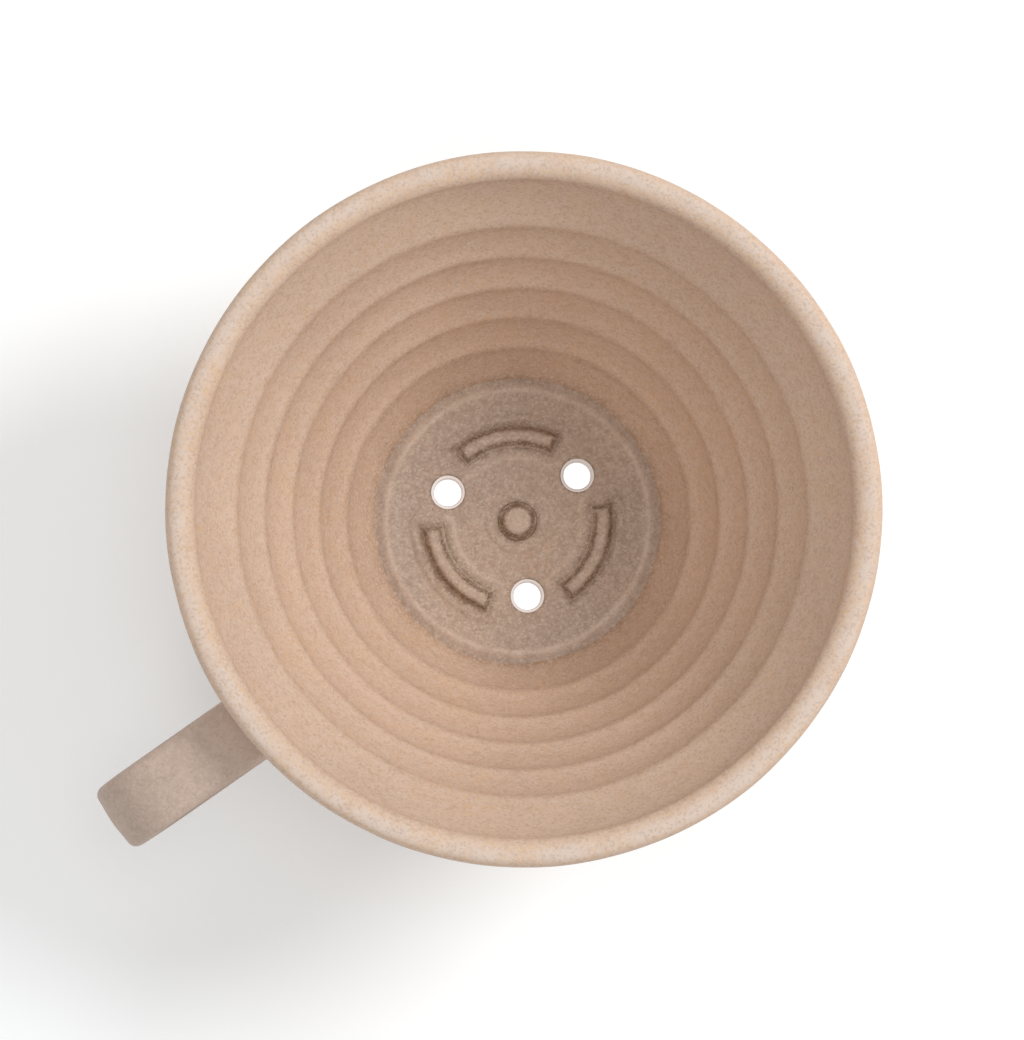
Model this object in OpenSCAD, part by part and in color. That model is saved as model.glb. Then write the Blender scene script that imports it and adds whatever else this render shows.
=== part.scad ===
// Stoneware pour-over dripper for flat-bottomed paper filters. The clay pieces are modelled as
// they are thrown, pressed and pulled, and meet face to face where slip joins them.
// Origin: on the cone's axis, in the plane of the flange's underside, which rests on the mug's rim.
// +Z is up, and the handle points along +X.

/* [Cone] */
// Outer diameter of the rim
rim_d = 120; // [114:1:126]
// Height from the bottom of the locating ring to the top of the rim
overall_h = 72; // [69:1:76]
// Inner diameter where the wall meets the floor
floor_d = 50; // [48:1:52]
// Lean of the wall away from upright, in degrees
wall_lean = 27.2; // [26.4:0.1:27.6]
// Thickness of the wall
wall_t = 4.6; // [4.2:0.1:5]
// Thickness of the rolled lip
lip_d = 5; // [4.6:0.1:5.4]
// How far the foot's outside stands out from the inner edge of the floor
foot_t = 7; // [6.5:0.1:7.4]

/* [Throwing rings] */
// Number of rings left by the fingers inside the wall
ring_n = 5; // [3:1:5]
// Height of the lowest ring above the floor
ring_first = 10; // [8:0.5:11]
// Height from one ring to the next
ring_step = 8.85; // [8:0.05:9]
// Depth of the hollow between two rings
ring_hollow = 0.6; // [0.2:0.1:0.9]
// Depth of the longer hollow under the lip
lip_hollow = 1; // [0.4:0.1:1.4]

/* [Drain plate] */
// Thickness of the floor
plate_t = 5; // [4.5:0.1:5.5]
// Width of the step on which the wall stands on the plate
seat_w = 1.5; // [1:0.1:2]
// Diameter of the raised edge's crest
crest_d = 45.4; // [44:0.2:46]
// Height of the crest above the floor
crest_h = 0.9; // [0.4:0.1:1.2]
// Width of the slope that runs up from the flat floor to the crest
crest_slope = 4.2; // [3:0.1:4.5]
// Diameter of a drain hole
hole_d = 4.8; // [4:0.1:5.2]
// Diameter of the softened mouth of a drain hole
hole_mouth_d = 5.8; // [5.6:0.1:6]
// Diameter of the circle through the drain holes
hole_circle_d = 26.6; // [26:0.2:28]

/* [Ribs and boss] */
// Inner radius of a rib at its foot
rib_in_r = 13.1; // [12.8:0.1:13.4]
// Outer radius of a rib at its foot
rib_out_r = 17.1; // [16.8:0.1:17.4]
// Angle that a rib's foot spans, in degrees
rib_span = 69; // [60:1:72]
// Height of a rib above its pad
rib_h = 1.5; // [1:0.1:1.8]
// How far a rib's sides slope in from foot to top
rib_batter = 1.3; // [1:0.1:1.4]
// Diameter of the boss at its foot
boss_d = 7; // [6:0.2:8]
// Height of the boss above its pad
boss_h = 1.6; // [1.2:0.1:2]
// How far a pad reaches out round its rib or boss
pad_w = 2.2; // [1.6:0.1:2.4]
// Height of a pad above the floor
pad_h = 0.3; // [0.2:0.1:0.4]

/* [Flange and locating ring] */
// Outer diameter of the flange that rests on the mug
flange_d = 100; // [94:1:106]
// Thickness of the flange where it meets the foot
flange_t = 5; // [4.5:0.1:5.5]
// Thickness of the flange at its round edge
flange_edge_t = 3.5; // [3:0.1:4]
// Height of the locating ring below the flange
locate_h = 8; // [6:0.5:9]
// Outer diameter of the locating ring
locate_d = 62; // [58:0.5:62]
// Thickness of the locating ring
locate_t = 6; // [4:0.1:8]
// Radius of the locating ring's lower edges
locate_edge_r = 1.2; // [0.8:0.1:1.6]

/* [Handle] */
// Width of the strap
strap_w = 12; // [10:0.5:14]
// Thickness of the strap
strap_t = 5.5; // [4.5:0.1:6]
// How far the handle reaches out from the cone's axis
handle_reach = 87.2; // [84:0.2:92]
// Depth of the strap's top below the top of the rim
handle_drop = 9.75; // [9:0.25:11]
// Angle by which the hand-set strap stands off the radial line, in degrees
handle_skew = 2.5; // [0:0.5:4]

/* [Hidden] */
$fn = 96;
rim_r = rim_d / 2;
floor_r = floor_d / 2;
foot_r = floor_r + foot_t;
plate_r = floor_r + seat_w;
seat_z = plate_t;
rim_z = overall_h - locate_h;
lip_r = lip_d / 2;
lip_z = rim_z - lip_r;
// The wall's outside, as a radius at height z
function wall_out_r(z) = floor_r + (z - seat_z) * tan(wall_lean) + wall_t / cos(wall_lean);
foot_top_z = seat_z + (foot_t - wall_t / cos(wall_lean)) / tan(wall_lean);
// The straight outside of the wall ends this far below the lip's centre, in lip radii
LIP_DROP = 1.2;
wall_top_z = lip_z - LIP_DROP * lip_r;
// Each throwing ring's crest, from the lowest up
function ring_crest(i) = let (h = ring_first + i * ring_step)
    [floor_r + h * tan(wall_lean), seat_z + h];
wall_stops = [[floor_r, seat_z], for (i = [0 : ring_n - 1]) ring_crest(i), [rim_r - lip_d, lip_z]];
HOLLOW_STEPS = 8;
LIP_STEPS = 20;
// The lip rolls on below its widest point by this angle, and meets the wall just below
LIP_UNDER = 60;
// The drain holes, with a filter rib between each two
hole_n = 3;
crest_r = crest_d / 2;
crest_from = crest_r - crest_slope;
CREST_STEPS = 12;
pad_z = seat_z + pad_h;
rib_mid_r = (rib_in_r + rib_out_r) / 2;
// The strap's middle line in the upright plane through the handle: a run out from the wall, three
// bends downwards and back, and a run into the wall. Each stop is [x, z, heading].
top_bend_r = 8;
back_bend_r = 30;
low_bend_r = 10;
top_turn = 90;
back_turn = 30;
low_turn = 55;
run_from = 50;
low_run = 42;
BEND_STEPS = 12;
function strap_bend(s, r, turn) = [for (i = [1 : BEND_STEPS]) let (t = turn * i / BEND_STEPS)
    [s.x + r * (sin(s.z) - sin(s.z - t)), s.y + r * (cos(s.z - t) - cos(s.z)), s.z - t]];
function strap_run(s, length) = [s.x + length * cos(s.z), s.y + length * sin(s.z), s.z];
function strap_side(s, off) = [s.x - off * sin(s.z), s.y + off * cos(s.z)];
top_start = [run_from, rim_z - handle_drop - strap_t / 2, 0];
top_end = strap_run(top_start, handle_reach - strap_t / 2 - top_bend_r - run_from);
top_bend = strap_bend(top_end, top_bend_r, top_turn);
back_bend = strap_bend(top_bend[BEND_STEPS - 1], back_bend_r, back_turn);
low_bend = strap_bend(back_bend[BEND_STEPS - 1], low_bend_r, low_turn);
strap_path = concat([top_start, top_end], top_bend, back_bend, low_bend,
                    [strap_run(low_bend[BEND_STEPS - 1], low_run)]);
// The point of the strap, seen from above, about which it was set askew
skew_about = 74;

// Points of a shallow round hollow between two crests, bulging towards the clay
function hollow(a, b, depth) =
    let (chord = norm(b - a), half = 2 * atan(2 * depth / chord), r = chord / 2 / sin(half),
         way = atan2(b.y - a.y, b.x - a.x), c = (a + b) / 2 + (r - depth) * [-sin(way), cos(way)])
    [for (i = [0 : HOLLOW_STEPS - 1]) let (t = way - 90 - half + 2 * half * i / HOLLOW_STEPS)
        c + r * [cos(t), sin(t)]];

// Conical wall with its throwing rings, rolled lip and plain foot
module cone_body() {
    last = len(wall_stops) - 2;
    inside = [for (i = [0 : last])
        each hollow(wall_stops[i], wall_stops[i + 1], i == last ? lip_hollow : ring_hollow)];
    lip = [for (i = [0 : LIP_STEPS]) let (t = 180 - (180 + LIP_UNDER) * i / LIP_STEPS)
        [rim_r - lip_r + lip_r * cos(t), lip_z + lip_r * sin(t)]];
    color([0.80, 0.68, 0.58]) rotate_extrude() polygon(concat(
        [[plate_r, 0], [plate_r, seat_z]], inside, lip,
        [[wall_out_r(wall_top_z), wall_top_z], [foot_r, foot_top_z], [foot_r, 0]]));
}

// A ridge along an arc, centred on +X, whose sides and ends slope in by batter over its height
module arc_ridge(in_r, out_r, span, h, batter) {
    difference() {
        rotate([0, 0, -span / 2]) rotate_extrude(angle = span)
            polygon([[in_r, 0], [out_r, 0], [out_r - batter, h], [in_r + batter, h]]);
        for (side = [-1, 1]) rotate([0, 0, side * span / 2]) rotate([side * atan(batter / h), 0, 0])
            translate([0, min(side, 0) * 3 * h, -h]) cube([2 * out_r, 3 * h, 4 * h]);
    }
}

// The raised edge of the plate, as a height above the floor at radius r
function edge_rise(r) = crest_h / 2 * (1 - cos(180 *
    (r < crest_r ? (r - crest_from) / crest_slope : (floor_r - r) / (floor_r - crest_r))));

// Floor with a raised edge, low pads, and drain holes with softened mouths
module drain_plate() {
    color([0.70, 0.60, 0.52]) difference() {
        union() {
            rotate_extrude() polygon(concat([[0, 0], [plate_r, 0], [plate_r, seat_z]],
                [for (i = [0 : CREST_STEPS]) let (r = floor_r + (crest_from - floor_r) * i / CREST_STEPS)
                    [r, seat_z + edge_rise(r)]],
                [[0, seat_z]]));
            for (i = [0 : hole_n - 1]) rotate([0, 0, i * 360 / hole_n]) translate([0, 0, seat_z])
                arc_ridge(rib_in_r - pad_w, rib_out_r + pad_w,
                          rib_span + 2 * pad_w * 180 / PI / rib_mid_r, pad_h, 2 * pad_h);
            translate([0, 0, seat_z])
                cylinder(h = pad_h, r1 = boss_d / 2 + pad_w, r2 = boss_d / 2 + pad_w - 2 * pad_h);
        }
        for (i = [0 : hole_n - 1]) rotate([0, 0, (i + 0.5) * 360 / hole_n])
            translate([hole_circle_d / 2, 0, 0]) drain_hole();
    }
}

// Straight hole right through the plate, with its mouth widened at the top
module drain_hole() {
    soft = (hole_mouth_d - hole_d) / 2;
    translate([0, 0, -1]) cylinder(h = plate_t + 2, d = hole_d);
    translate([0, 0, seat_z - soft]) cylinder(h = 2 * soft, d1 = hole_d, d2 = hole_mouth_d + 2 * soft);
}

// Curved rib standing on its pad
module filter_rib(i) {
    color([0.76, 0.66, 0.57]) rotate([0, 0, i * 360 / hole_n]) translate([0, 0, pad_z])
        arc_ridge(rib_in_r, rib_out_r, rib_span, rib_h, rib_batter);
}

// Domed button: a straight-sided foot under a part of a ball
module centre_boss() {
    side_h = boss_h / 3;
    dome_h = boss_h - side_h;
    ball_r = (pow(boss_d / 2, 2) + pow(dome_h, 2)) / (2 * dome_h);
    color([0.76, 0.66, 0.57]) translate([0, 0, pad_z]) union() {
        cylinder(h = side_h, d = boss_d);
        intersection() {
            translate([0, 0, boss_h - ball_r]) sphere(ball_r);
            translate([0, 0, side_h]) cylinder(h = boss_h, d = boss_d);
        }
    }
}

// Disc round the foot, thinner towards its round edge
module base_flange() {
    edge_r = flange_edge_t / 2;
    run_r = flange_d / 2 - edge_r;
    color([0.78, 0.67, 0.58]) rotate_extrude() union() {
        polygon([[foot_r, 0], [run_r, 0], [run_r, flange_edge_t], [foot_r, flange_t]]);
        translate([run_r, edge_r]) circle(edge_r);
    }
}

// Ring under the foot and the flange, its lower edges rounded
module locating_ring() {
    out_r = locate_d / 2;
    in_r = out_r - locate_t;
    e = locate_edge_r;
    color([0.75, 0.64, 0.55]) translate([0, 0, -locate_h]) rotate_extrude() union() {
        translate([in_r, e]) square([locate_t, locate_h - e]);
        translate([in_r + e, 0]) square([locate_t - 2 * e, locate_h]);
        for (r = [in_r + e, out_r - e]) translate([r, e]) circle(e);
    }
}

// Strap bent into a loop and cut to the outside of the wall at both ends
module handle() {
    color([0.74, 0.65, 0.59]) difference() {
        translate([skew_about, 0, 0]) rotate([90, 0, -handle_skew]) translate([-skew_about, 0, 0])
            linear_extrude(strap_w, center = true) polygon(concat(
                [for (s = strap_path) strap_side(s, strap_t / 2)],
                [for (i = [len(strap_path) - 1 : -1 : 0]) strap_side(strap_path[i], -strap_t / 2)]));
        translate([0, 0, foot_top_z])
            cylinder(h = wall_top_z - foot_top_z, r1 = foot_r, r2 = wall_out_r(wall_top_z));
    }
}

cone_body();
drain_plate();
filter_rib(0);  // filter_rib_1
filter_rib(1);  // filter_rib_2
filter_rib(2);  // filter_rib_3
centre_boss();
base_flange();
locating_ring();
handle();
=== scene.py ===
import math

import bmesh
import bpy
from mathutils import Matrix, Vector


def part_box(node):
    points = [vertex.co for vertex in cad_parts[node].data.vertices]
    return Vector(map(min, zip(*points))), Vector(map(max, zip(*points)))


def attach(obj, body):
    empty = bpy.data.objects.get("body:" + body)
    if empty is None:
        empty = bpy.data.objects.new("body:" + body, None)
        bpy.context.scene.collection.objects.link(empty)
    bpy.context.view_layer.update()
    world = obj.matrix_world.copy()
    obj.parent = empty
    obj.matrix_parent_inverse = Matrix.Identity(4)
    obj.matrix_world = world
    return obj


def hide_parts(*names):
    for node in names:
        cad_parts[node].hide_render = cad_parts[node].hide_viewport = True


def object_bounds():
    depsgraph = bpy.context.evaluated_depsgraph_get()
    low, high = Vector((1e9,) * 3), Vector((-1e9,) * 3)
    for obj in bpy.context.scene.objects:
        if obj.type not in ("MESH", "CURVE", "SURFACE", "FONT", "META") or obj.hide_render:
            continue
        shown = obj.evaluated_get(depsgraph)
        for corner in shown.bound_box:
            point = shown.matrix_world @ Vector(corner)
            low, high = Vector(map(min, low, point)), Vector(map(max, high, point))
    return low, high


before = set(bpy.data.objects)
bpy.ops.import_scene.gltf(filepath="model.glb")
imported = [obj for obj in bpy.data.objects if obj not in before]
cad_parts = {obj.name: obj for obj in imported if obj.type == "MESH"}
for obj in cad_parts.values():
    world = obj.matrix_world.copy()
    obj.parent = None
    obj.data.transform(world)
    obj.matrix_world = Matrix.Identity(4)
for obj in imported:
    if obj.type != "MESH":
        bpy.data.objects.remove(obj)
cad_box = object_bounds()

# ---------------------------------------------------------------- camera
# A long lens a metre above the rim looks down into the cone. It leans over the gap between the
# handle and the next drain hole, and is turned so that the handle points down and to the left.
MM = 0.001
low_corner, high_corner = cad_box
rim_z = high_corner.z
camera_distance = 1000 * MM
view_height = 173.3 * MM
camera_lean = math.radians(2.4)
camera_side = math.radians(26)
up_heading = math.radians(232.5)
aim_left = 2.08 * MM
aim_below = 2.0 * MM
back = Vector((math.sin(camera_lean) * math.cos(camera_side),
               math.sin(camera_lean) * math.sin(camera_side), math.cos(camera_lean)))
up = Vector((math.cos(up_heading), math.sin(up_heading), 0))
up = (up - up.dot(back) * back).normalized()
right = up.cross(back)
aim = Vector((0, 0, rim_z)) - aim_left * right - aim_below * up
lens = bpy.data.cameras.new("studio_camera")
lens.lens = lens.sensor_width * camera_distance / view_height
camera = bpy.data.objects.new("studio_camera", lens)
camera.matrix_world = (Matrix.Translation(aim + camera_distance * back)
                       @ Matrix((right, up, back)).transposed().to_4x4())
bpy.context.collection.objects.link(camera)
bpy.context.scene.camera = camera
bpy.context.scene.view_settings.view_transform = "Standard"

# ---------------------------------------------------------------- table and light
# The dripper stands on a white table in a big white tent. One strong soft lamp hangs over the side
# away from the handle, with three weak ones to fill, and a glowing sheet under the foot shines up
# through the drain holes.
table_width = 6
table_glow = 0.12
sheet_r = 24 * MM
sheet_lift = 0.3 * MM
sheet_glow = 1.0
lamp_width = 0.45
lamp_distance = 1.3
lamp_aim = Vector((0, 0, 30 * MM))
tent_glow = 0.48


def plain_white(name, glow):
    """Matte white paint, which glows by the amount given."""
    paint = bpy.data.materials.new(name)
    paint.use_nodes = True
    shader = paint.node_tree.nodes["Principled BSDF"]
    shader.inputs["Base Color"].default_value = (0.91, 0.925, 0.93, 1)
    shader.inputs["Roughness"].default_value = 0.9
    shader.inputs["Specular IOR Level"].default_value = 0.1
    shader.inputs["Emission Color"].default_value = (1, 1, 1, 1)
    shader.inputs["Emission Strength"].default_value = glow
    return paint


bpy.ops.object.select_all(action="DESELECT")
bpy.ops.mesh.primitive_plane_add(size=table_width, location=(0, 0, low_corner.z))
table = bpy.context.object
table.name = "table"
table.data.materials.append(plain_white("white_table", table_glow))
bpy.ops.mesh.primitive_circle_add(vertices=64, radius=sheet_r, fill_type="NGON",
                                  location=(0, 0, low_corner.z + sheet_lift))
glow_sheet = bpy.context.object
glow_sheet.name = "glow_sheet"
glow_sheet.data.materials.append(plain_white("glowing_sheet", sheet_glow))


def soft_lamp(name, heading, height, watts):
    """A round lamp as wide as an umbrella. Heading 0 is the camera's right and 90 its top."""
    heading, height = math.radians(heading), math.radians(height)
    way = ((math.cos(heading) * right + math.sin(heading) * up) * math.cos(height)
           + Vector((0, 0, math.sin(height))))
    light = bpy.data.lights.new(name, "AREA")
    light.shape = "DISK"
    light.size = lamp_width
    light.energy = watts
    lamp = bpy.data.objects.new(name, light)
    lamp.location = lamp_aim + lamp_distance * way
    lamp.rotation_euler = (-way).to_track_quat("-Z", "Y").to_euler()
    bpy.context.collection.objects.link(lamp)


soft_lamp("key_lamp", 24, 45, 9.4)
soft_lamp("top_lamp", 90, 45, 1.4)
soft_lamp("left_lamp", 235, 55, 2.0)
soft_lamp("overhead_lamp", 0, 88, 1.7)
studio = bpy.data.worlds.new("studio")
studio.use_nodes = True
studio.node_tree.nodes["Background"].inputs["Color"].default_value = (1, 1, 1, 1)
studio.node_tree.nodes["Background"].inputs["Strength"].default_value = tent_glow
bpy.context.scene.world = studio

# ---------------------------------------------------------------- thrown cone
# The wall is stoneware thrown on the wheel in one pull. Five finger rings climb its inside as low
# ridges with shallow hollows between them, and its lip is rolled over into a soft bead.
wall_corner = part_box("cone_body")[1]
plate_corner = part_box("drain_plate")[1]
rim_r = wall_corner.x
plate_r = plate_corner.x
seat_w = 1.5 * MM
seat_gap = 0.05 * MM
floor_r = plate_r - seat_w
floor_z = 5 * MM
foot_r = floor_r + 7 * MM
wall_lean = math.radians(27.2)
wall_t = 4.6 * MM
lip_r = 2.5 * MM
lip_z = wall_corner.z - lip_r
lip_drop = 1.6 * lip_r
ring_first = 10 * MM
ring_step = 8.85 * MM
ring_count = 5
hollow_depths = (0.35, 0.6, 0.52, 0.62, 0.56, 0.5)
hollow_steps = 9
wheel_steps = 160


def outside_r(z):
    """Radius of the wall's outside at height z."""
    return floor_r + (z - floor_z) * math.tan(wall_lean) + wall_t / math.cos(wall_lean)


def round_about(centre, radius, start, end, steps):
    """Stops along an arc in the section, from one angle in degrees to another."""
    turns = [math.radians(start + (end - start) * i / steps) for i in range(steps + 1)]
    return [centre + radius * Vector((math.cos(t), math.sin(t))) for t in turns]


def hollow(here, there, depth, steps):
    """Stops along a shallow hollow from one ridge up to the next, bulging into the clay."""
    chord = there - here
    half = 2 * math.atan(2 * depth / chord.length)
    radius = chord.length / 2 / math.sin(half)
    into_clay = Vector((-chord.y, chord.x)).normalized()
    centre = (here + there) / 2 + (radius - depth) * into_clay
    along = math.degrees(math.atan2(chord.y, chord.x))
    half = math.degrees(half)
    return round_about(centre, radius, along - 90 - half, along - 90 + half, steps)[:-1]


def lathe(name, section, turns):
    """Draws the section out stop by stop and spins it round the axis."""
    bpy.ops.object.select_all(action="DESELECT")
    bpy.ops.mesh.primitive_plane_add(size=MM, location=(section[0].x, 0, section[0].y))
    piece = bpy.context.object
    piece.name = piece.data.name = name
    bpy.ops.object.transform_apply(location=True, rotation=False, scale=False)
    bpy.ops.object.mode_set(mode="EDIT")
    bpy.ops.mesh.select_mode(type="VERT")
    bpy.ops.mesh.select_all(action="SELECT")
    bpy.ops.mesh.merge(type="CENTER")
    for here, there in zip(section, section[1:]):
        step = (there.x - here.x, 0, there.y - here.y)
        bpy.ops.mesh.extrude_vertices_move(TRANSFORM_OT_translate={"value": step})
    bpy.ops.mesh.select_all(action="SELECT")
    bpy.ops.mesh.spin(steps=turns, angle=2 * math.pi, center=(0, 0, 0), axis=(0, 0, 1))
    bpy.ops.mesh.select_all(action="SELECT")
    bpy.ops.mesh.remove_doubles(threshold=0.01 * MM)
    bpy.ops.mesh.normals_make_consistent(inside=False)
    bpy.ops.object.mode_set(mode="OBJECT")
    bpy.ops.object.shade_smooth()
    return piece


def apply_modifier(piece, kind, **settings):
    """Gives the piece one modifier and applies it."""
    modifier = piece.modifiers.new(kind.lower(), kind)
    for setting, value in settings.items():
        setattr(modifier, setting, value)
    bpy.ops.object.select_all(action="DESELECT")
    piece.select_set(True)
    bpy.context.view_layer.objects.active = piece
    bpy.ops.object.modifier_apply(modifier=modifier.name)


def hand_wobble(piece, size, depth):
    """Takes the machine look off a surface with slow, shallow swells."""
    swells = bpy.data.textures.new(piece.name + "_swells", "CLOUDS")
    swells.noise_scale = size
    swells.noise_depth = 1
    apply_modifier(piece, "DISPLACE", texture=swells, texture_coords="LOCAL", strength=depth)


def paint_tone(piece, name, tone):
    """Stores a number at each point of the piece, for its glaze to read."""
    layer = piece.data.attributes.new(name, "FLOAT", "POINT")
    layer.data.foreach_set("value", [tone(point.co) for point in piece.data.vertices])


def bell(distance, width):
    """1 at no distance, fading softly to 0 beyond the width."""
    return math.exp(-(distance / width) ** 2)


ridges = [Vector((floor_r + climb * math.tan(wall_lean), floor_z + climb))
          for climb in (ring_first + i * ring_step for i in range(ring_count))]
wall_foot = Vector((floor_r + 0.5 * MM, floor_z + 1.1 * MM))
lip_inside = Vector((rim_r - 2 * lip_r, lip_z))
# The seat for the floor, then the toe of clay pressed over the floor's edge, whose stops are
# given in millimetres outwards from the floor's radius and upwards from the floor
toe = ((-0.4, -0.6), (-0.9, -0.2), (-0.4, 0.1), (0, 0.22), (0.25, 0.55))
section = [Vector((plate_r - seat_gap, 0)), Vector((plate_r - seat_gap, floor_z - 0.6 * MM))]
section += [Vector((floor_r + out * MM, floor_z + rise * MM)) for out, rise in toe]
# The inside, ring by ring
marks = [wall_foot] + ridges + [lip_inside]
for here, there, depth in zip(marks, marks[1:], hollow_depths):
    section += hollow(here, there, depth * MM, hollow_steps)
# The lip, a broad soft slope on its inside and a fuller, tighter round on its outside
lip_steps = 18
lip_step_turn = 12.5
lip_crest = Vector((rim_r - 0.78 * lip_r, lip_z))
lip_inner = 1.25 * lip_r
lip_outer = 0.75 * lip_r
lip_fullness = 0.8
for step in range(lip_steps + 1):
    turn = math.radians(180 - lip_step_turn * step)
    out, rise = math.cos(turn), math.sin(turn)
    if out < 0:
        out *= lip_inner
    else:
        out = lip_outer * out ** lip_fullness
        if rise > 0:
            rise **= lip_fullness
    section.append(lip_crest + Vector((out, lip_r * rise)))
# The straight outside and the upright foot
outside_steps = 20
wall_top = lip_z - lip_drop
for step in range(outside_steps + 1):
    z = wall_top + (foot_r - outside_r(wall_top)) / math.tan(wall_lean) * step / outside_steps
    section.append(Vector((outside_r(z), z)))
section += [Vector((foot_r, z)) for z in (6.5 * MM, 3 * MM, 0)]
section.append(section[0])
cone = lathe("thrown_cone", section, wheel_steps)
apply_modifier(cone, "SUBSURF", levels=1, render_levels=1)
hand_wobble(cone, 15 * MM, 0.2 * MM)


def wall_tone(place):
    """Pale on top of the lip, dark round its outer edge, darker down towards the floor, and pale
    above and dark below each ring: painted highlight and shade, with some wear and pooled glaze.
    """
    r = math.hypot(place.x, place.y)
    if r > lip_inside.x - 1 * MM and place.z > lip_z - 1 * MM:
        # Pale on top of the lip: glaze wear and a painted highlight where the top faces the lamps.
        worn_and_lit = max(0.0, min(1.0, (place.z - lip_z) / lip_r)) ** 4
        # A thin dark line round the lip's outermost edge: painted shade where the round of the lip
        # turns away.
        edge_shade = bell(rim_r - 0.08 * MM - r, 0.16 * MM)
        edge_shade *= bell(place.z - lip_z - 0.3 * MM, 0.5 * MM)
        return 0.1 + 0.85 * worn_and_lit - 1.4 * edge_shade
    if r > outside_r(place.z) - wall_t / 2:
        return 0.0
    # Paler towards the top, darker towards the floor and darkest at the wall's foot: painted shade
    # deep in the cone and in the crease at the floor.
    tone = 0.15 * max(0, place.z - 40 * MM) / (20 * MM)
    tone -= 0.5 * bell(place.z - floor_z, 2 * MM)
    tone -= 0.2 * bell(place.z - floor_z, 14 * MM)
    # Pale just above each ring and dark just below it: a painted highlight on the flatter ledge
    # and painted shade on the steeper riser, where glaze also pools.
    for ridge in ridges:
        tone += 0.14 * bell(place.z - ridge.y - 1 * MM, 0.9 * MM)
        tone -= 0.22 * bell(place.z - ridge.y + 1 * MM, 0.9 * MM)
    return tone


paint_tone(cone, "tone_and_painted_light", wall_tone)


def noise(tree, place, size, detail, roughness):
    """Soft blotches of about this size."""
    made = tree.nodes.new("ShaderNodeTexNoise")
    made.inputs["Scale"].default_value = 1 / size
    made.inputs["Detail"].default_value = detail
    made.inputs["Roughness"].default_value = roughness
    tree.links.new(place, made.inputs["Vector"])
    return made.outputs["Fac"]


def spread(tree, value, from_low, from_high, to_low, to_high):
    """Maps one range of a value to another, and holds it at both ends."""
    made = tree.nodes.new("ShaderNodeMapRange")
    tree.links.new(value, made.inputs["Value"])
    for socket, number in (("From Min", from_low), ("From Max", from_high),
                           ("To Min", to_low), ("To Max", to_high)):
        made.inputs[socket].default_value = number
    return made.outputs["Result"]


def times(tree, first, second):
    """One value times another."""
    made = tree.nodes.new("ShaderNodeMath")
    made.operation = "MULTIPLY"
    tree.links.new(first, made.inputs[0])
    tree.links.new(second, made.inputs[1])
    return made.outputs[0]


def layer_over(tree, amount, under, over):
    """Colour under with colour over laid on it by amount. Either colour may be a socket."""
    made = tree.nodes.new("ShaderNodeMix")
    made.data_type = "RGBA"
    tree.links.new(amount, made.inputs[0])
    for socket, colour in ((made.inputs[6], under), (made.inputs[7], over)):
        if isinstance(colour, tuple):
            socket.default_value = (*colour, 1)
        else:
            tree.links.new(colour, socket)
    return made.outputs[2]


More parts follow.
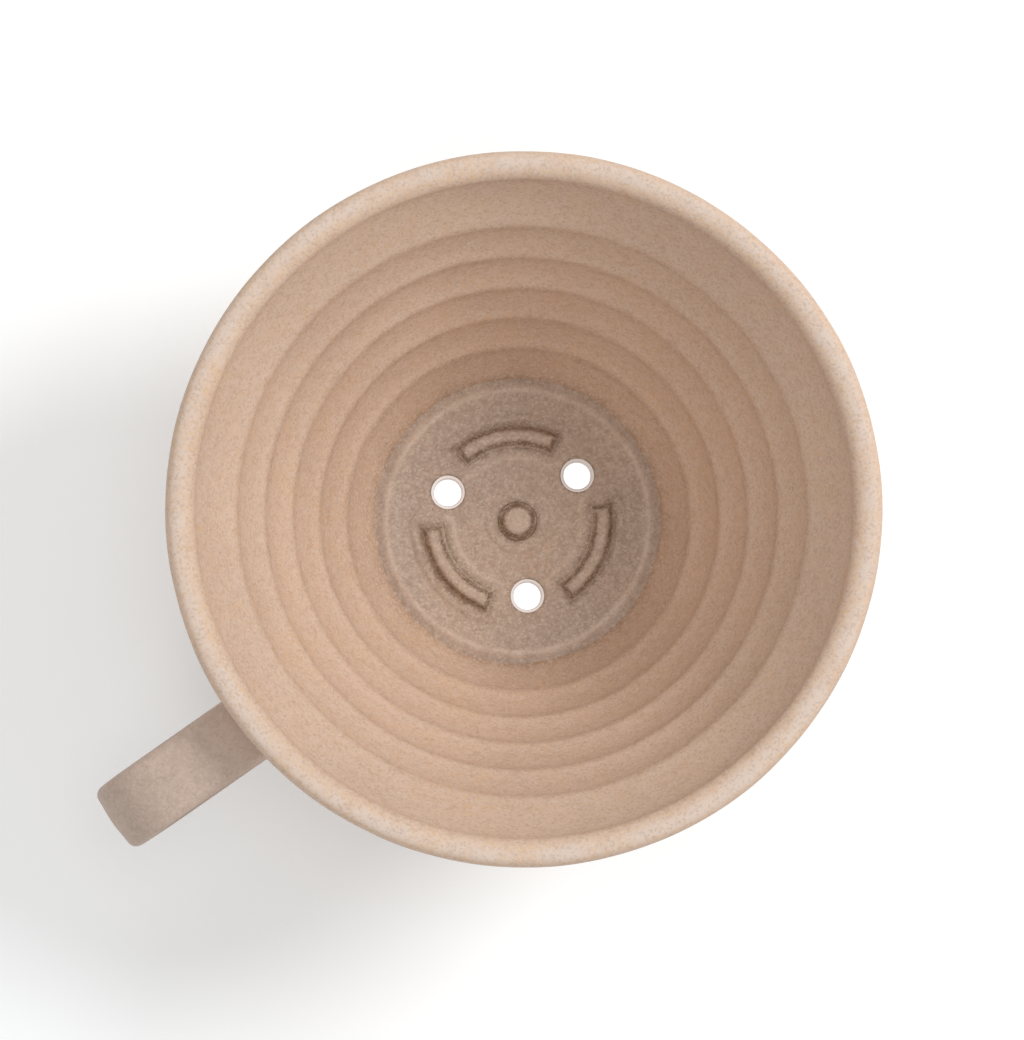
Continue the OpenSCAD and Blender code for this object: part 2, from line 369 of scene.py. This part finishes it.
def sandy_glaze(name, clay, cloud, pale_and_highlight, pool_and_shade, toast, toasting, grain):
    """Matte glaze full of sand: slow clouds, mottling, single grains, toasted flecks, and a paler
    layer where the tone is above 0 and a darker one where it is below, which paints highlight and
    shade as well as glaze break and pooling. It is toasted where the pale tone begins."""
    glaze = bpy.data.materials.new(name)
    glaze.use_nodes = True
    tree = glaze.node_tree
    shader = tree.nodes["Principled BSDF"]
    place = tree.nodes.new("ShaderNodeTexCoord").outputs["Object"]
    slow = noise(tree, place, 28 * MM, 3, 0.5)
    mottle = noise(tree, place, 1.7 * MM, 5, 0.7)
    # Single grains of sand, each with its own random colour to tell pale, dark and toasted ones
    grain_size = 0.36 * MM
    grains = tree.nodes.new("ShaderNodeTexVoronoi")
    grains.inputs["Scale"].default_value = 1 / grain_size
    tree.links.new(place, grains.inputs["Vector"])
    kinds = tree.nodes.new("ShaderNodeSeparateColor")
    tree.links.new(grains.outputs["Color"], kinds.inputs["Color"])
    # The painted tone, made patchy: it holds painted highlight and shade besides the glaze's own
    # tone
    tone = tree.nodes.new("ShaderNodeAttribute")
    tone.attribute_name = "tone_and_painted_light"
    patchy = noise(tree, place, 6 * MM, 4, 0.65)
    uneven = times(tree, tone.outputs["Fac"], spread(tree, patchy, 0.32, 0.66, 0.6, 1.3))
    # Layers from the bottom up: clouds, painted highlight and shade with break and pool, mottling,
    # grains
    colour = layer_over(tree, spread(tree, slow, 0.4, 0.62, 0, 1), clay, cloud)
    colour = layer_over(tree, spread(tree, uneven, 0, 1, 0, 0.85), colour, pale_and_highlight)
    colour = layer_over(tree, spread(tree, uneven, 0, -1, 0, 0.9), colour, pool_and_shade)
    colour = layer_over(tree, spread(tree, mottle, 0.45, 0.7, 0, 0.25), colour, pale_and_highlight)
    colour = layer_over(tree, spread(tree, mottle, 0.52, 0.34, 0, 0.12), colour, pool_and_shade)
    pale_grains = spread(tree, kinds.outputs["Red"], 0.5, 1, 0, grain)
    dark_grains = spread(tree, kinds.outputs["Green"], 0.6, 1, 0, 0.55 * grain)
    colour = layer_over(tree, pale_grains, colour, pale_and_highlight)
    colour = layer_over(tree, dark_grains, colour, pool_and_shade)
    # Toasted flecks where the pale tone begins, and denser ones in scattered patches
    pale_tone_start = times(tree, spread(tree, uneven, 0.18, 0.4, 0, 1),
                        spread(tree, uneven, 0.5, 0.95, 1, 0))
    patches = spread(tree, noise(tree, place, 8 * MM, 3, 0.6), 0.48, 0.66, 0, 1)
    for where, least, most in ((pale_tone_start, 0.3, 0.6 * toasting), (patches, 0.72, toasting)):
        flecks = spread(tree, kinds.outputs["Blue"], least, 0.95, 0, most)
        colour = layer_over(tree, times(tree, where, flecks), colour, toast)
    tree.links.new(colour, shader.inputs["Base Color"])
    tree.links.new(spread(tree, mottle, 0.3, 0.7, 0.66, 0.82), shader.inputs["Roughness"])
    shader.inputs["Specular IOR Level"].default_value = 0.35
    # Sand under the glaze, and the slow ripple of a hand-thrown surface
    sand = tree.nodes.new("ShaderNodeBump")
    sand.inputs["Strength"].default_value = 0.55
    sand.inputs["Distance"].default_value = 0.06 * MM
    tree.links.new(noise(tree, place, 0.55 * MM, 3, 0.7), sand.inputs["Height"])
    ripple = tree.nodes.new("ShaderNodeBump")
    ripple.inputs["Strength"].default_value = 0.5
    ripple.inputs["Distance"].default_value = 0.2 * MM
    tree.links.new(noise(tree, place, 5 * MM, 2, 0.5), ripple.inputs["Height"])
    tree.links.new(sand.outputs["Normal"], ripple.inputs["Normal"])
    tree.links.new(ripple.outputs["Normal"], shader.inputs["Normal"])
    return glaze


wall_glaze = sandy_glaze("sand_glaze", clay=(0.64, 0.45, 0.325), cloud=(0.60, 0.42, 0.305),
                         pale_and_highlight=(0.66, 0.54, 0.46), pool_and_shade=(0.30, 0.19, 0.12),
                         toast=(0.66, 0.43, 0.24), toasting=0.75, grain=0.54)
cone.data.materials.append(wall_glaze)
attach(cone, "root")
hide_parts("cone_body")

# ---------------------------------------------------------------- drain plate
# The floor is a round of clay with a raised edge and low pads pressed into it. The three drain
# holes are pierced through with a tube, and their mouths softened with a wet finger.
plate_round = 0.4 * MM
plate_top_r = 25.4 * MM
edge_crest = 23.2 * MM
edge_rise = 0.9 * MM
edge_fall = 0.5 * MM
edge_slope = 4.2 * MM
rib_in = 13.1 * MM
rib_out = 17.1 * MM
rib_mid = (rib_in + rib_out) / 2
rib_half = math.radians(34.5)
rib_turns = [math.radians(120 * i) for i in range(3)]
boss_r = 3.5 * MM
pad_rise = 0.3 * MM
pad_z = floor_z + pad_rise
pad_soft = 0.8 * MM
rib_pad = 1.5 * MM
boss_pad = 1.7 * MM
hole_turns = [math.radians(60 + 120 * i) for i in range(3)]
hole_circle = 13.3 * MM
hole_r = 2.4 * MM
mouth_r = 2.95 * MM


def floor_height(r):
    """Height of the floor's top at radius r: flat, up to the crest, and partly down again."""
    if r < edge_crest:
        part = max(0.0, (r - edge_crest + edge_slope) / edge_slope)
        return floor_z + edge_rise * (0.5 - 0.5 * math.cos(math.pi * part))
    part = min(1.0, (r - edge_crest) / (floor_r - edge_crest))
    return floor_z + edge_rise - edge_fall * (0.5 - 0.5 * math.cos(math.pi * part))


section = [Vector((0, 0)), Vector((12 * MM, 0)), Vector((plate_r - plate_round, 0)),
           Vector((plate_r, plate_round)), Vector((plate_r, floor_z - 0.35 * MM))]
floor_rows = 84
section += [Vector((r, floor_height(r))) for r in
            (plate_top_r * (1 - row / floor_rows) for row in range(floor_rows))]
section.append(Vector((0, floor_z)))
plate = lathe("drain_floor", section, 240)


def edit(piece):
    """Makes the piece the only one selected and opens it in edit mode."""
    bpy.ops.object.select_all(action="DESELECT")
    piece.select_set(True)
    bpy.context.view_layer.objects.active = piece
    bpy.ops.object.mode_set(mode="EDIT")


def pick(piece, kind, test):
    """In edit mode, selects only the points, edges or faces whose middle passes the test."""
    bpy.ops.mesh.select_mode(type=kind)
    bpy.ops.mesh.select_all(action="DESELECT")
    mesh = bmesh.from_edit_mesh(piece.data)
    for item in {"VERT": mesh.verts, "EDGE": mesh.edges, "FACE": mesh.faces}[kind]:
        corners = [item.co] if kind == "VERT" else [point.co for point in item.verts]
        if test(sum(corners, Vector()) / len(corners)):
            item.select_set(True)
    mesh.select_flush_mode()
    bmesh.update_edit_mesh(piece.data)


def raise_pad(piece, inside):
    """Presses a pad up out of the floor, with the clay round it following softly."""
    edit(piece)
    pick(piece, "VERT", inside)
    bpy.ops.transform.translate(value=(0, 0, pad_rise), use_proportional_edit=True,
                                proportional_edit_falloff="SMOOTH", proportional_size=pad_soft)
    bpy.ops.object.mode_set(mode="OBJECT")


def rib_gap(place, turn):
    """How far a place on the floor lies outside the foot of the rib at this turn."""
    r = math.hypot(place.x, place.y)
    off = (math.atan2(place.y, place.x) - turn + math.pi) % (2 * math.pi) - math.pi
    endways = max(abs(off) - rib_half, 0) * rib_mid
    return math.hypot(max(rib_in - r, r - rib_out, 0), endways)


def on_top(place):
    """Whether a place is on the floor's top and not on its side or underside."""
    return place.z > floor_z - 0.2 * MM


for turn in rib_turns:
    raise_pad(plate, lambda place: on_top(place) and rib_gap(place, turn) < rib_pad)
raise_pad(plate, lambda place: on_top(place) and math.hypot(place.x, place.y) < boss_r + boss_pad)

# The tube that pierces the holes, flared as wide as the softened mouths
mouth_round = mouth_r - hole_r
flare_r = mouth_r + 0.4 * MM
punch_low, punch_high = -1 * MM, floor_z + 2 * MM
mouth_centre = Vector((mouth_r, floor_z - mouth_round))
section = [Vector((0, punch_low)), Vector((hole_r, punch_low)), Vector((hole_r, mouth_centre.y))]
section += round_about(mouth_centre, mouth_round, 180, 90, 8)[1:]
section += [Vector((flare_r, floor_z + 0.08 * MM)), Vector((flare_r, punch_high)),
            Vector((0, punch_high))]
for turn in hole_turns:
    punch = lathe("hole_punch", section, 64)
    punch.location = hole_circle * Vector((math.cos(turn), math.sin(turn), 0))
    apply_modifier(plate, "BOOLEAN", operation="DIFFERENCE", solver="EXACT", object=punch)
    bpy.data.objects.remove(punch)
bpy.ops.object.shade_smooth_by_angle(angle=math.radians(35))


def hole_distance(place):
    """How far a place is from the middle of the nearest drain hole."""
    return min((place.xy - hole_circle * Vector((math.cos(turn), math.sin(turn)))).length
               for turn in hole_turns)


def floor_tone(place):
    """Painted highlight on the raised edge and by the ribs' pads, and painted shade round the
    ribs, boss and holes and down to the wall's toe, where the glaze also breaks and pools.
    """
    if not on_top(place):
        return 0
    r = math.hypot(place.x, place.y)
    gap = min(rib_gap(place, turn) for turn in rib_turns)
    # A painted highlight on the raised edge's crest, where the glaze also breaks paler, fading
    # into painted shade down to the wall's toe.
    tone = 0.7 * bell(max(edge_crest - r, 0), 0.45 * MM)
    tone -= 0.8 * max(r - edge_crest, 0) / (floor_r - edge_crest)
    # Painted shade round the ribs' and the boss's feet, where the glaze also pools.
    tone -= 0.75 * bell(gap, 0.6 * MM)
    tone -= 0.7 * bell(max(r - boss_r, 0), 0.55 * MM)
    # A painted highlight along the inner edge of each rib's pad.
    if r < rib_in:
        tone += 0.4 * bell(gap - 1.9 * MM, 0.4 * MM)
    # A thin dark ring round each hole's mouth: painted shade at its edge, with darker glaze there
    # too.
    tone -= 0.9 * bell(hole_distance(place) - mouth_r - 0.05 * MM, 0.16 * MM)
    return max(-1, tone)


paint_tone(plate, "tone_and_painted_light", floor_tone)
floor_glaze = sandy_glaze("ash_glaze", clay=(0.435, 0.32, 0.243), cloud=(0.385, 0.292, 0.235),
                          pale_and_highlight=(0.66, 0.54, 0.45), pool_and_shade=(0.17, 0.105, 0.065),
                          toast=(0.62, 0.34, 0.18), toasting=0.3, grain=0.4)
# Near-white paint for the holes' walls: painted light where light shines up through them.
hole_light_white = plain_white("painted_light_holes", 0)
hole_light_white.node_tree.nodes["Principled BSDF"].inputs["Base Color"].default_value = (0.84, 0.82, 0.81, 1)
plate.data.materials.clear()
plate.data.materials.append(floor_glaze)
plate.data.materials.append(hole_light_white)
# The holes' walls are painted near-white: painted light, for the light that shines up through the
# holes
edit(plate)
pick(plate, "FACE", lambda place: hole_distance(place) < mouth_r - 0.02 * MM)
plate.active_material_index = 1
bpy.ops.object.material_slot_assign()
bpy.ops.object.mode_set(mode="OBJECT")
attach(plate, "root")
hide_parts("drain_plate")

# ---------------------------------------------------------------- filter ribs
# Three ribs between the holes hold the paper off the floor. Each is a bar of clay with sloping
# sides and ends, bent to its arc and pressed onto its pad, with painted shade round its foot where
# the glaze also pools.
rib_length = 2 * rib_half * rib_mid
rib_rise = 1.5 * MM
rib_batter = 1.3 * MM
rib_bevel = 0.45 * MM
rib_cuts = 40


def rib_tone(place):
    """Painted highlight on top, and painted shade half-way down the sides."""
    climb = (place.z - pad_z) / rib_rise
    return 0.5 - 1.75 * bell(climb - 0.5, 0.4)


bpy.ops.object.select_all(action="DESELECT")
bpy.ops.mesh.primitive_cube_add(size=1, location=(0, 0, 0))
bar = bpy.context.object
bpy.ops.object.mode_set(mode="EDIT")
bpy.ops.transform.resize(value=(rib_length, rib_out - rib_in, rib_rise))
pick(bar, "FACE", lambda middle: middle.z > 0.49 * rib_rise)
bpy.ops.transform.resize(value=(1 - 2 * rib_batter / rib_length,
                                1 - 2 * rib_batter / (rib_out - rib_in), 1))
pick(bar, "EDGE", lambda middle: middle.z > 0.25 * rib_rise)
bpy.ops.mesh.bevel(offset=rib_bevel, segments=6, affect="EDGES")
for cut in range(1, rib_cuts):
    bpy.ops.mesh.select_all(action="SELECT")
    bpy.ops.mesh.bisect(plane_co=((cut / rib_cuts - 0.5) * rib_length, 0, 0), plane_no=(1, 0, 0))
for share in (0.25, 0.5, 0.7, 0.85):
    bpy.ops.mesh.select_all(action="SELECT")
    bpy.ops.mesh.bisect(plane_co=(0, 0, (share - 0.5) * rib_rise), plane_no=(0, 0, 1))
bpy.ops.object.mode_set(mode="OBJECT")
apply_modifier(bar, "SIMPLE_DEFORM", deform_method="BEND", deform_axis="Z", angle=2 * rib_half)
bpy.ops.object.shade_smooth_by_angle(angle=math.radians(60))
bar.data.transform(Matrix.Rotation(math.pi / 2, 4, "Z")
                   @ Matrix.Translation((0, -rib_mid, pad_z + rib_rise / 2)))
for number, turn in enumerate(rib_turns, 1):
    rib = bar.copy()
    rib.data = bar.data.copy()
    rib.name = rib.data.name = f"rib_bar_{number}"
    bpy.context.collection.objects.link(rib)
    rib.data.transform(Matrix.Rotation(turn, 4, "Z"))
    paint_tone(rib, "tone_and_painted_light", rib_tone)
    rib.data.materials.append(floor_glaze)
    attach(rib, "root")
    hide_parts(f"filter_rib_{number}")
bpy.data.objects.remove(bar)

# ---------------------------------------------------------------- centre boss
# A ball of clay pressed onto the middle of the floor as a low button with a rounded shoulder. It
# lifts the paper where it would sag most.
boss_rise = 1.6 * MM
shoulder_r = 0.9 * MM
shoulder_centre = Vector((1.75 * MM, pad_z + boss_rise - 0.1 * MM - shoulder_r))
section = [Vector((0, pad_z)), Vector((boss_r, pad_z)),
           Vector((boss_r - 0.25 * MM, pad_z + 0.2 * MM)),
           Vector((boss_r - 0.55 * MM, pad_z + 0.45 * MM))]
section += round_about(shoulder_centre, shoulder_r, 20, 85, 7)
section += [Vector((0.9 * MM, pad_z + boss_rise - 0.02 * MM)), Vector((0, pad_z + boss_rise))]
boss = lathe("centre_button", section, 72)


def boss_tone(place):
    """Painted highlight on top, and a ring of painted shade round the shoulder."""
    return 0.4 - 1.7 * bell(math.hypot(place.x, place.y) - 2.85 * MM, 0.65 * MM)


paint_tone(boss, "tone_and_painted_light", boss_tone)
boss.data.materials.append(floor_glaze)
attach(boss, "root")
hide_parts("centre_boss")

# ---------------------------------------------------------------- base flange
# A saucer thrown separately and luted round the foot with slip. Its flat underside rests on the
# rim of the mug, and its edge is rounded with a wet sponge.
flange_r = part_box("base_flange")[1].x
flange_edge = 1.75 * MM
flange_in = foot_r - 0.5 * MM
edge_centre = Vector((flange_r - 0.07 * MM - flange_edge, flange_edge))
section = [Vector((flange_in, 0)), Vector((40 * MM, 0)), Vector((flange_r - 2.6 * MM, 0))]
section += round_about(edge_centre, flange_edge, -90, 90, 10)
section += [Vector((44 * MM, 3.75 * MM)), Vector((38 * MM, 4.2 * MM))]
# The slip smoothed up the foot: millimetres outwards from the foot, and heights
cove = ((2.4, 4.5), (1.2, 4.7), (0.5, 5.2), (0.1, 6))
section += [Vector((foot_r + out * MM, rise * MM)) for out, rise in cove]
section += [Vector((flange_in, 6.3 * MM)), Vector((flange_in, 3 * MM)), Vector((flange_in, 0))]
saucer = lathe("mug_saucer", section, wheel_steps)
apply_modifier(saucer, "SUBSURF", levels=1, render_levels=1)
paint_tone(saucer, "tone_and_painted_light",
           lambda place: 0.7 * bell(math.hypot(place.x, place.y) - flange_r, 1.2 * MM))
saucer.data.materials.append(wall_glaze)
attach(saucer, "root")
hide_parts("base_flange")

# ---------------------------------------------------------------- locating ring
# A plain turned ring under the foot drops into the mug's mouth and keeps the dripper central. It
# is wiped clean of glaze, so that it doesn't stick to the kiln shelf.
ring_low, ring_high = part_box("locating_ring")
ring_t = 6 * MM
ring_out = ring_high.x
ring_in = ring_out - ring_t
ring_middle = -4 * MM
corner_r = 1.2 * MM
corner_z = ring_low.z + corner_r
section = [Vector((ring_in, 0)), Vector((ring_in, ring_middle))]
section += round_about(Vector((ring_in + corner_r, corner_z)), corner_r, 180, 270, 6)
section += round_about(Vector((ring_out - corner_r, corner_z)), corner_r, 270, 360, 6)
section += [Vector((ring_out, ring_middle)), Vector((ring_out, 0)), Vector((ring_in, 0))]
spigot = lathe("spigot_ring", section, wheel_steps)
paint_tone(spigot, "tone_and_painted_light", lambda place: 0)
bare_clay = sandy_glaze("bare_clay", clay=(0.46, 0.33, 0.24), cloud=(0.42, 0.30, 0.22),
                        pale_and_highlight=(0.56, 0.44, 0.35), pool_and_shade=(0.28, 0.18, 0.12),
                        toast=(0.55, 0.30, 0.14), toasting=0.4, grain=0.4)
spigot.data.materials.append(bare_clay)
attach(spigot, "root")
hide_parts("locating_ring")

# ---------------------------------------------------------------- handle
# A flat strap pulled from a lump of clay and bent into a loop. Its ends are luted to the wall
# under the lip and above the foot, and it was set on a little askew.
strap_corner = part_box("handle")[1]
strap_w = 12 * MM
strap_t = 5.5 * MM
crown = 0.3 * MM
crown_spread = 4.4 * MM
edge_round = 1.7 * MM
strap_z = strap_corner.z - strap_t / 2
strap_start = 51 * MM
skew = math.radians(-2.5)
strap_reach = strap_corner.x - strap_w / 2 * math.sin(-skew) - strap_t / 2
top_bend, back_bend, low_bend = 8 * MM, 30 * MM, 10 * MM
low_run = 36.5 * MM
skew_about = Vector((74 * MM, 0, 0))
bpy.ops.object.select_all(action="DESELECT")
bpy.ops.mesh.primitive_plane_add(size=1, location=(0, 0, 0))
strap = bpy.context.object
strap.name = strap.data.name = "pulled_strap"
bpy.ops.object.mode_set(mode="EDIT")
bpy.ops.transform.resize(value=(strap_t - 2 * crown, strap_w, 1))
pick(strap, "VERT", lambda place: True)
bpy.ops.mesh.bevel(offset=edge_round, segments=5, affect="VERTICES")
for side in (-1, 1):
    pick(strap, "EDGE", lambda middle: side * middle.x > 0.49 * (strap_t - 2 * crown))
    bpy.ops.mesh.subdivide(number_cuts=5)
    pick(strap, "VERT", lambda place: side * place.x > 1 * MM and abs(place.y) < 0.1 * MM)
    bpy.ops.transform.translate(value=(side * crown, 0, 0), use_proportional_edit=True,
                                proportional_edit_falloff="SMOOTH", proportional_size=crown_spread)
bpy.ops.mesh.select_all(action="SELECT")
bpy.ops.mesh.delete(type="ONLY_FACE")
bpy.ops.object.mode_set(mode="OBJECT")
strap.data.transform(Matrix.Translation((strap_start, 0, strap_z))
                     @ Matrix.Rotation(math.pi / 2, 4, "Y"))
edit(strap)
bpy.ops.mesh.select_all(action="SELECT")
tip = Vector((strap_start, 0, strap_z))
heading = 0


def pull(tip, heading, length, steps):
    """Draws the open end of the strap straight on, and returns where it ends."""
    along = Vector((math.cos(heading), 0, math.sin(heading)))
    for _ in range(steps):
        bpy.ops.mesh.extrude_region_move(TRANSFORM_OT_translate={"value": along * length / steps})
    return tip + along * length


def curl(tip, heading, radius, turn, steps):
    """Bends the open end of the strap downwards and back, and returns where it ends."""
    centre = tip + radius * Vector((math.sin(heading), 0, -math.cos(heading)))
    bpy.ops.mesh.spin(steps=steps, angle=-turn, center=centre, axis=(0, 1, 0))
    heading -= turn
    return centre - radius * Vector((math.sin(heading), 0, -math.cos(heading))), heading


tip = pull(tip, heading, strap_reach - top_bend - strap_start, 12)
tip, heading = curl(tip, heading, top_bend, math.radians(90), 14)
tip, heading = curl(tip, heading, back_bend, math.radians(30), 10)
tip, heading = curl(tip, heading, low_bend, math.radians(55), 10)
tip = pull(tip, heading, low_run, 14)
bpy.ops.mesh.select_all(action="SELECT")
bpy.ops.mesh.remove_doubles(threshold=0.005 * MM)
bpy.ops.mesh.select_mode(type="EDGE")
bpy.ops.mesh.select_all(action="DESELECT")
bpy.ops.mesh.select_non_manifold()
bpy.ops.mesh.edge_face_add()
bpy.ops.mesh.select_all(action="SELECT")
bpy.ops.mesh.normals_make_consistent(inside=False)
bpy.ops.object.mode_set(mode="OBJECT")
strap.data.transform(Matrix.Translation(skew_about) @ Matrix.Rotation(skew, 4, "Z")
                     @ Matrix.Translation(-skew_about))
apply_modifier(strap, "SUBSURF", levels=1, render_levels=1)
bpy.ops.object.shade_smooth()


def strap_tone(place):
    """Paler towards the rim and at the far bend: painted light that lifts the rim's shadow on the
    strap and the shade of the bend.
    """
    r = math.hypot(place.x, place.y)
    return 0.8 * bell(max(r - rim_r, 0), 7 * MM) + 0.35 * bell(max(strap_corner.x - r, 0), 3 * MM)


paint_tone(strap, "tone_and_painted_light", strap_tone)
strap_glaze = sandy_glaze("strap_glaze", clay=(0.48, 0.37, 0.30), cloud=(0.45, 0.345, 0.28),
                          pale_and_highlight=(0.64, 0.50, 0.42), pool_and_shade=(0.24, 0.17, 0.13),
                          toast=(0.56, 0.36, 0.25), toasting=0.25, grain=0.3)
strap.data.materials.append(strap_glaze)
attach(strap, "root")
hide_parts("handle")
